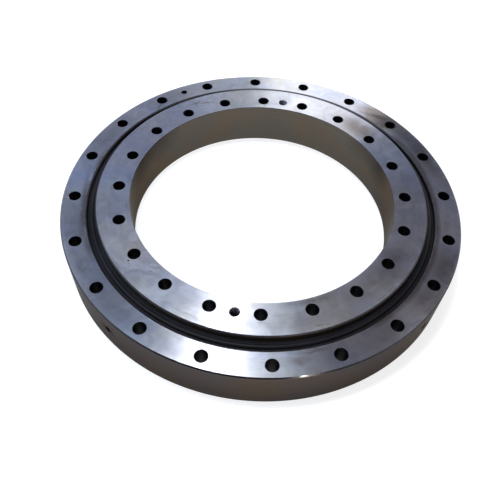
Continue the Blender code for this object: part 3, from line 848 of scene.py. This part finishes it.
def nitrile_rubber(colours):
    """Extruded black nitrile rubber: the seals.

    Satin black, with a greyer bloom in soft patches and fine dust that the oil holds. The dust
    is drawn about 1 mm across, so that it shows.
    """
    made, tree, where = new_material("nitrile_rubber")
    bloom = add(tree, "TexNoise", {"Vector": where, "Scale": 22.0, "Detail": 4.0})
    grain = add(tree, "TexNoise", {"Vector": where, "Scale": 900.0, "Detail": 2.0})
    base = patchy(tree, bloom, 0.4, 0.8, colours.rubber, colours.rubber_dust)
    rough = add(tree, "MapRange", (bloom, 0.3, 0.7, 0.46, 0.60))
    relief = add(tree, "Bump", {"Height": grain, "Strength": 0.2, "Distance": 0.00005})
    lay_surface(tree, {"Base Color": base, "Roughness": rough, "Specular IOR Level": 0.18,
                       "Normal": relief})
    return made


def studio_paper(colours, glow_strength):
    """Matt studio paper: the floor and the backdrop that it sweeps up into.

    To the camera, and in gloss, it also glows faintly, so that it reads as white and still
    keeps the object's shadow. Far from the object, where the lamps don't reach, the camera sees
    it glow a little more.
    """
    made, tree, where = new_material("studio_paper")
    ray = add(tree, "LightPath").outputs
    seen = add(tree, "Math", (ray["Is Camera Ray"], ray["Is Glossy Ray"]), operation="MAXIMUM")
    seen = add(tree, "Math", (seen, ray["Is Transmission Ray"]), operation="MAXIMUM")
    distance = add(tree, "VectorMath", (where,), operation="LENGTH")
    far = add(tree, "MapRange", (distance, *DIMMING_PAPER, 0.0, 1.0 - glow_strength))
    more = add(tree, "Math", (ray["Is Camera Ray"], far), operation="MULTIPLY")
    glow = add(tree, "Math", (seen, glow_strength, more), operation="MULTIPLY_ADD")
    lay_surface(tree, {"Base Color": (*colours.paper, 1.0), "Roughness": 1.0,
                       "Specular IOR Level": 0.0, "Emission Color": (1.0, 1.0, 1.0, 1.0),
                       "Emission Strength": glow})
    return made


def finish(name):
    """A finish's material, made the first time that a piece asks for it."""
    if name in bpy.data.materials:
        return bpy.data.materials[name]
    colours = bpy.context.scene.slewing_ring.finishes
    if name == "face_turned_steel":
        return face_turned_steel(colours)
    if name == "oiled_turned_wall":
        return oil_and_shade_wall_steel(name, colours, colours.wall, colours.wall_tint,
                                (INNER_HIGH.z / 2, PORT_RUN, PORT_RUN_REACH), OUTER_HIGH.z,
                                WALL_RIM_SHADE)
    # The bore's blots below its rim are painted shade
    if name == "oiled_turned_bore":
        return oil_and_shade_wall_steel(name, colours, colours.bore, colours.bore_tint,
                                (INNER_HIGH.z, BORE_SHADE_BLOTS, BORE_SHADE_REACH), INNER_HIGH.z,
                                BORE_RIM_SHADE)
    if name == "nitrile_rubber":
        return nitrile_rubber(colours)
    # Colour, roughness, grains to a metre, how far the shade varies, depth of relief in metres
    plain = {
        # Cut at 45 degrees in one pass, coloured dark as painted shade, with a painted glint in a
        # spot
        "chamfered_edge": (colours.edge, 0.22, 300.0, 0.12, 0.00003, colours.painted_glint),
        # Drilled, oily and out of the light, so nearly black
        "drilled_hole": (colours.hole, 0.45, 220.0, 0.25, 0.00005),
        # Turned and rounded off, coloured dark as painted shade of the crevice between the rings
        "oiled_seal_seat": (colours.seat, 0.42, 240.0, 0.20, 0.00003),
        # Tapped, and filled with old grease that takes the light in
        "greased_port": (colours.port, 0.55, 220.0, 0.25, 0.00005),
        # Tapped, with cutting oil and dust left in the threads
        "tapped_thread": (colours.thread, 0.35, 260.0, 0.20, 0.00004),
        # Hardened and ground, a fine even gloss
        "ground_raceway": (colours.race, 0.16, 600.0, 0.05, 0.00001),
        # Ground flush with the ring, under the same oil, and as dark as the wall, partly painted
        # shade
        "ground_plug": (colours.plug, 0.32, 260.0, 0.12, 0.00002),
        # Lapped chrome steel, close to a mirror
        "polished_ball": (colours.ball, 0.07, 500.0, 0.03, 0.000004),
        # Cold-rolled and punched strip, satin with rolling grain
        "cold_rolled_strip": (colours.strip, 0.30, 350.0, 0.10, 0.00002),
    }
    return plain_steel(name, *plain[name])


def ring_finishes(wall):
    """The finishes of a ring, in the order of FACE, WALL, EDGE, HOLE, RACE and so on."""
    return [finish(name) for name in ("face_turned_steel", wall, "chamfered_edge",
                                      "drilled_hole", "ground_raceway", "tapped_thread",
                                      "oiled_seal_seat", "greased_port")]


class SLEWING_OT_outer_ring(bpy.types.Operator):
    """Build the outer ring: raceway, seal seat, bolt holes, grease ports and plug hole"""

    bl_idname = "slewing_ring.outer_ring"
    bl_label = "Outer ring"

    def execute(self, context):
        settings = context.scene.slewing_ring
        sizes, holes = settings.rings, settings.holes
        section, sides = ring_section(sizes, 1)
        piece = add_piece("ring_outer", turned_ring(section, sides, RING_COLUMNS),
                          ring_finishes("oiled_turned_wall"))
        cut(piece, bolt_holes(holes, bolt_line(sizes, holes), holes.first_outer, 0.0,
                              sizes.ring_height))
        wall = sizes.outer_diameter / 2
        port = tapped_hole(holes.port_major, holes.port_minor, holes.port_pitch,
                           holes.port_depth, holes.port_mouth, holes.port_drill,
                           wall - sizes.ball_circle / 2, PORT)
        places = [pitches_on(holes, holes.first_outer, count) for count in PORT_PLACES]
        cut(piece, joined([port.moved(radial_at(wall, azimuth, sizes.height / 2))
                           for azimuth in places]))
        cut(piece, plug_rod(settings, settings.plug.gap, HOLE))
        cut(piece, pin_cutter(settings))
        hand_over(piece, "outer", "ring_steel", "outer_ring")
        return {"FINISHED"}


class SLEWING_OT_inner_ring(bpy.types.Operator):
    """Build the inner ring: raceway, seal seat, bolt holes and tapped lifting holes"""

    bl_idname = "slewing_ring.inner_ring"
    bl_label = "Inner ring"

    def execute(self, context):
        settings = context.scene.slewing_ring
        sizes, holes = settings.rings, settings.holes
        section, sides = ring_section(sizes, -1)
        piece = add_piece("ring_inner", turned_ring(section, sides, RING_COLUMNS),
                          ring_finishes("oiled_turned_bore"))
        line = sizes.bore_diameter / 2 + holes.bolt_edge
        cut(piece, bolt_holes(holes, line, holes.first_inner,
                              sizes.height - sizes.ring_height, sizes.height))
        lift = tapped_hole(holes.lift_major, holes.lift_minor, holes.lift_pitch,
                           holes.lift_depth, holes.lift_mouth, 0.0, 0.0, THREAD)
        places = [pitches_on(holes, holes.first_inner, count) for count in LIFT_PLACES]
        cut(piece, joined([lift.moved(upright_at(line, azimuth, sizes.height))
                           for azimuth in places]))
        hand_over(piece, "inner", "ring_steel", "inner_ring")
        return {"FINISHED"}


class SLEWING_OT_filler_plug(bpy.types.Operator):
    """Build the filler plug, which carries the outer ring's form on, and its taper pin"""

    bl_idname = "slewing_ring.filler_plug"
    bl_label = "Filler plug"

    def execute(self, context):
        settings = context.scene.slewing_ring
        sizes, holes, plug = settings.rings, settings.holes, settings.plug
        looks = ring_finishes("oiled_turned_wall")
        looks[WALL] = finish("ground_plug")
        piece = add_piece("plug_filler", plug_rod(settings, 0.0, WALL), looks)
        section, sides = ring_section(sizes, 1)
        cut(piece, turned_ring(section, sides, RING_COLUMNS), "INTERSECT")
        cut(piece, pin_cutter(settings))
        puller = tapped_hole(plug.puller_major, plug.puller_minor, plug.puller_pitch,
                             plug.puller_depth, plug.puller_major, 0.0, 0.0, THREAD)
        cut(piece, puller.moved(radial_at(sizes.outer_diameter / 2, plug_azimuth(holes, plug),
                                          sizes.height / 2)))
        hand_over(piece, "outer", "plug_steel", "filler_plug")

        top, head, chamfer = sizes.ring_height - plug.pin_sink, plug.pin_head / 2, plug.pin_chamfer
        pin = turned_rod([(0, plug.pin_foot), (plug.pin_tip / 2, plug.pin_foot),
                          (head, top - chamfer), (head - chamfer, top), (0, top)],
                         [0] * 4, HOLE_COLUMNS)
        pin = pin.moved(upright_at(bolt_line(sizes, holes), plug_azimuth(holes, plug), 0.0))
        piece = add_piece("plug_pin", pin, [finish("ground_plug")])
        hand_over(piece, "outer", "plug_steel", "plug_taper_pin")
        return {"FINISHED"}


class SLEWING_OT_seals(bpy.types.Operator):
    """Build the two rubber seals: foot, ridge, valley and wiping lip"""

    bl_idname = "slewing_ring.seals"
    bl_label = "Seals"

    def execute(self, context):
        settings = context.scene.slewing_ring
        for name, side, body, node in (("seal_upper", 1, "outer", "upper_seal"),
                                       ("seal_lower", -1, "inner", "lower_seal")):
            section = on_side(self.section(settings.rings, settings.seals),
                              settings.rings, side)
            ring = turned_ring(section, np.zeros(len(section), int), RING_COLUMNS)
            piece = add_piece(name, ring, [finish("nitrile_rubber")])
            hand_over(piece, body, "seal_rubber", node)
        return {"FINISHED"}

    def section(self, sizes, seal):
        """The seal's section: arcs for the ridge and the lip, and a parabola between them.

        A point of the parabola is (1-t)^2 A + 2 t (1-t) B + t^2 C.
        """
        gap, end = sizes.ring_gap / 2, sizes.ring_height - sizes.height / 2
        foot = end - sizes.seat_depth + seal.seat_gap
        back = gap + sizes.seat_width - seal.seat_gap
        ridge_x = gap + sizes.seat_width - seal.crevice_width - seal.ridge_radius
        ridge_h = end - seal.ridge_sink - seal.ridge_radius
        ridge = arc((ridge_x, ridge_h), (seal.ridge_radius,) * 2, *RIDGE_ARC, RIDGE_STEPS)
        half = seal.lip_width / 2
        lip_x = -gap + seal.lip_gap + half
        lip = arc((lip_x, end - seal.lip_sink - half), (half, half), *LIP_ARC, RIDGE_STEPS)
        t = np.linspace(0, 1, RIDGE_STEPS + 1)[1:-1, None]
        low = np.array([(ridge[-1, 0] + lip[0, 0]) / 2, end - 2 * seal.valley_sink
                        + seal.ridge_sink])
        valley = (1 - t) ** 2 * ridge[-1] + 2 * t * (1 - t) * low + t ** 2 * lip[0]
        crevice = end - seal.crevice_depth
        return np.concatenate([[(gap + seal.seat_gap, foot), (back, foot), (back, crevice)],
                               ridge, valley, lip,
                               [(-gap + seal.lip_gap, end - seal.lip_depth)]])


class SLEWING_OT_balls(bpy.types.Operator):
    """Build the row of polished balls"""

    bl_idname = "slewing_ring.balls"
    bl_label = "Balls"

    def execute(self, context):
        settings = context.scene.slewing_ring
        sizes, row = settings.rings, settings.row
        radius = row.ball_diameter / 2
        # A sphere: at angle t from its foot, radius R sin t and height -R cos t
        t = np.linspace(0, math.pi, BALL_ROWS + 1)
        section = np.stack([radius * np.sin(t), -radius * np.cos(t)], axis=-1)
        ball = turned_rod(section, np.zeros(BALL_ROWS, int), BALL_COLUMNS)
        for count in range(row.ball_count):
            azimuth = (count + 0.5) * 2 * math.pi / row.ball_count
            place = upright_at(sizes.ball_circle / 2, azimuth, sizes.height / 2)
            piece = add_piece(f"row_ball_{count + 1:02d}", ball.moved(place),
                              [finish("polished_ball")])
            hand_over(piece, "ball_set", "ball_steel", f"ball_{count + 1:02d}")
        return {"FINISHED"}


class SLEWING_OT_cage(bpy.types.Operator):
    """Build the cage: segments of curved strip with a round window for each ball"""

    bl_idname = "slewing_ring.cage"
    bl_label = "Cage"

    def execute(self, context):
        settings = context.scene.slewing_ring
        sizes, row = settings.rings, settings.row
        ball_pitch = 2 * math.pi / row.ball_count
        share = row.ball_count // row.segment_count
        end_angle = row.end_gap / sizes.ball_circle
        radius = row.window_diameter / 2
        window = turned_rod([(0, -CUTTER_REACH), (radius, -CUTTER_REACH),
                             (radius, CUTTER_REACH), (0, CUTTER_REACH)], [0] * 3,
                            WINDOW_COLUMNS)
        for count in range(row.segment_count):
            start = count * share * ball_pitch + end_angle
            sweep = share * ball_pitch - 2 * end_angle
            piece = add_piece(f"row_cage_{count + 1}", self.strip(sizes, row, start, sweep),
                              [finish("cold_rolled_strip")])
            cut(piece, joined([
                window.moved(radial_at(sizes.ball_circle / 2, (ball + 0.5) * ball_pitch,
                                       sizes.height / 2))
                for ball in range(count * share, (count + 1) * share)]))
            hand_over(piece, "ball_set", "cage_steel", f"cage_segment_{count + 1}")
        return {"FINISHED"}

    def strip(self, sizes, row, start, sweep):
        """A flat strip bent round the ball circle, with rounded edges and closed ends."""
        half_h, half_x = row.strip_width / 2, row.strip_thickness / 2
        top = arc((0, half_h - half_x), (half_x, half_x), 0, 180, STRIP_EDGE_STEPS)
        section = on_side(np.concatenate([top, -top]), sizes, 1)
        azimuth = start + sweep * np.linspace(0, 1, STRIP_COLUMNS)
        points = carried_round(section, azimuth)
        rows = len(section)
        quads = grid_quads(STRIP_COLUMNS, rows, False, True)
        centre = points.mean(axis=1)
        row_at = np.arange(rows)
        above = (row_at + 1) % rows
        first, last = STRIP_COLUMNS * rows, STRIP_COLUMNS * rows + 1
        final = (STRIP_COLUMNS - 1) * rows
        caps = np.concatenate([
            np.stack([np.full(rows, first), row_at, above], axis=-1),
            np.stack([np.full(rows, last), final + above, final + row_at], axis=-1)])
        return Surface(np.concatenate([points.reshape(-1, 3), centre[[0, -1]]]), quads, caps,
                       np.zeros(len(quads), int), np.zeros(len(caps), int))


class SLEWING_OT_stage(bpy.types.Operator):
    """Build the studio: paper floor and backdrop, soft lamps, world light and camera"""

    bl_idname = "slewing_ring.stage"
    bl_label = "Studio"

    def execute(self, context):
        settings = context.scene.slewing_ring
        studio = settings.studio
        self.paper(studio_paper(settings.finishes, studio.paper_glow))
        self.world(context.scene, studio)
        for name, place, size, *_ in LAMPS:
            self.lamp(name + "_lamp", place, size, getattr(studio, name + "_power"),
                      getattr(studio, name + "_colour"))
        self.camera(context.scene, studio)
        context.scene.view_settings.view_transform = "Standard"
        return {"FINISHED"}

    def paper(self, look):
        """The floor: a disc that rises into a backdrop, as part of a circle turned round."""
        section = np.concatenate([[(PAPER_RADIUS, 0.0)],
                                  arc((PAPER_RADIUS, PAPER_BEND), (PAPER_BEND, PAPER_BEND),
                                      PAPER_BEND_START, 0, PAPER_BEND_STEPS),
                                  [(PAPER_RADIUS + PAPER_BEND, PAPER_HEIGHT)]])
        points = carried_round(section, around(PAPER_COLUMNS)).reshape(-1, 3)
        rows, column = len(section), np.arange(PAPER_COLUMNS)
        quads = grid_quads(PAPER_COLUMNS, rows, True, False)[:, ::-1]
        fan = np.stack([np.full(PAPER_COLUMNS, len(points)), column * rows,
                        (column + 1) % PAPER_COLUMNS * rows], axis=-1)
        surface = Surface(np.concatenate([points, [(0, 0, 0)]]) + (0, 0, PAPER_Z), quads, fan,
                          np.zeros(len(quads), int), np.zeros(len(fan), int))
        add_piece("studio_floor", surface, [look])

    def world(self, scene, studio):
        """Plain light all round, which the camera sees as white."""
        world = bpy.data.worlds.new("studio_world")
        world.use_nodes = True
        tree = world.node_tree
        tree.nodes.clear()
        plain = add(tree, "Background", {"Color": (*studio.world_colour, 1.0),
                                         "Strength": studio.world_strength})
        white = add(tree, "Background", {"Color": (1.0, 1.0, 1.0, 1.0)})
        to_camera = add(tree, "LightPath").outputs["Is Camera Ray"]
        seen = add(tree, "MixShader", (to_camera, plain, white))
        add(tree, "OutputWorld", {"Surface": seen})
        scene.world = world

    def lamp(self, name, place, size, power, tint):
        """A soft rectangular lamp that faces the middle of the bearing."""
        light = bpy.data.lights.new(name, "AREA")
        light.shape = "RECTANGLE"
        light.size, light.size_y = size
        light.energy = power
        light.color = tint
        lamp = bpy.data.objects.new(name, light)
        lamp.location = place
        lamp.rotation_euler = (-Vector(place)).to_track_quat("-Z", "Y").to_euler()
        bpy.context.scene.collection.objects.link(lamp)

    def camera(self, scene, studio):
        """A level camera that looks down along +Y, then rolled about its own axis."""
        data = bpy.data.cameras.new("studio_camera")
        data.lens = studio.lens
        data.sensor_width = SENSOR_WIDTH
        camera = bpy.data.objects.new("studio_camera", data)
        camera.location = studio.place
        camera.rotation_mode = "XYZ"
        level = Vector((1, 0, 0))
        up = Vector((0, math.sin(studio.elevation), math.cos(studio.elevation)))
        back = level.cross(up)
        right = math.cos(studio.roll) * level + math.sin(studio.roll) * up
        up = back.cross(right)
        camera.rotation_euler = Matrix((right, up, back)).transposed().to_euler()
        scene.collection.objects.link(camera)
        scene.camera = camera


class SLEWING_PT_panel(bpy.types.Panel):
    """The bearing's operators and sizes, in the 3D view's sidebar"""

    bl_idname = "SLEWING_PT_panel"
    bl_label = "Slewing Ring"
    bl_space_type = "VIEW_3D"
    bl_region_type = "UI"
    bl_category = "Slewing Ring"

    def draw(self, context):
        layout = self.layout
        for operator in STEPS:
            layout.operator(operator.bl_idname)
        settings = context.scene.slewing_ring
        for group in ("rings", "holes", "plug", "seals", "row", "finishes", "studio"):
            part = getattr(settings, group)
            box = layout.box()
            box.label(text=group.capitalize())
            for key in part.__annotations__:
                box.prop(part, key)


class SlewingRingSettings(bpy.types.PropertyGroup):
    """Everything that a user would change."""

    rings: PointerProperty(type=RingSizes)
    holes: PointerProperty(type=HoleSizes)
    plug: PointerProperty(type=PlugSizes)
    seals: PointerProperty(type=SealSizes)
    row: PointerProperty(type=RowSizes)
    finishes: PointerProperty(type=Finishes)
    studio: PointerProperty(type=StudioSettings)


STEPS = (SLEWING_OT_outer_ring, SLEWING_OT_inner_ring, SLEWING_OT_filler_plug,
         SLEWING_OT_seals, SLEWING_OT_balls, SLEWING_OT_cage, SLEWING_OT_stage)
CLASSES = (RingSizes, HoleSizes, PlugSizes, SealSizes, RowSizes, Finishes, StudioSettings,
           SlewingRingSettings, *STEPS, SLEWING_PT_panel)


def register():
    """Register the classes and hang the settings on the scene."""
    for made in CLASSES:
        bpy.utils.register_class(made)
    bpy.types.Scene.slewing_ring = PointerProperty(type=SlewingRingSettings)


def unregister():
    """Take the settings off the scene and unregister the classes."""
    del bpy.types.Scene.slewing_ring
    for made in reversed(CLASSES):
        bpy.utils.unregister_class(made)


def main():
    """Register the add-on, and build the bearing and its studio."""
    register()
    make = bpy.ops.slewing_ring
    make.outer_ring()
    make.inner_ring()
    make.filler_plug()
    make.seals()
    make.balls()
    make.cage()
    make.stage()


if __name__ == "__main__":
    main()
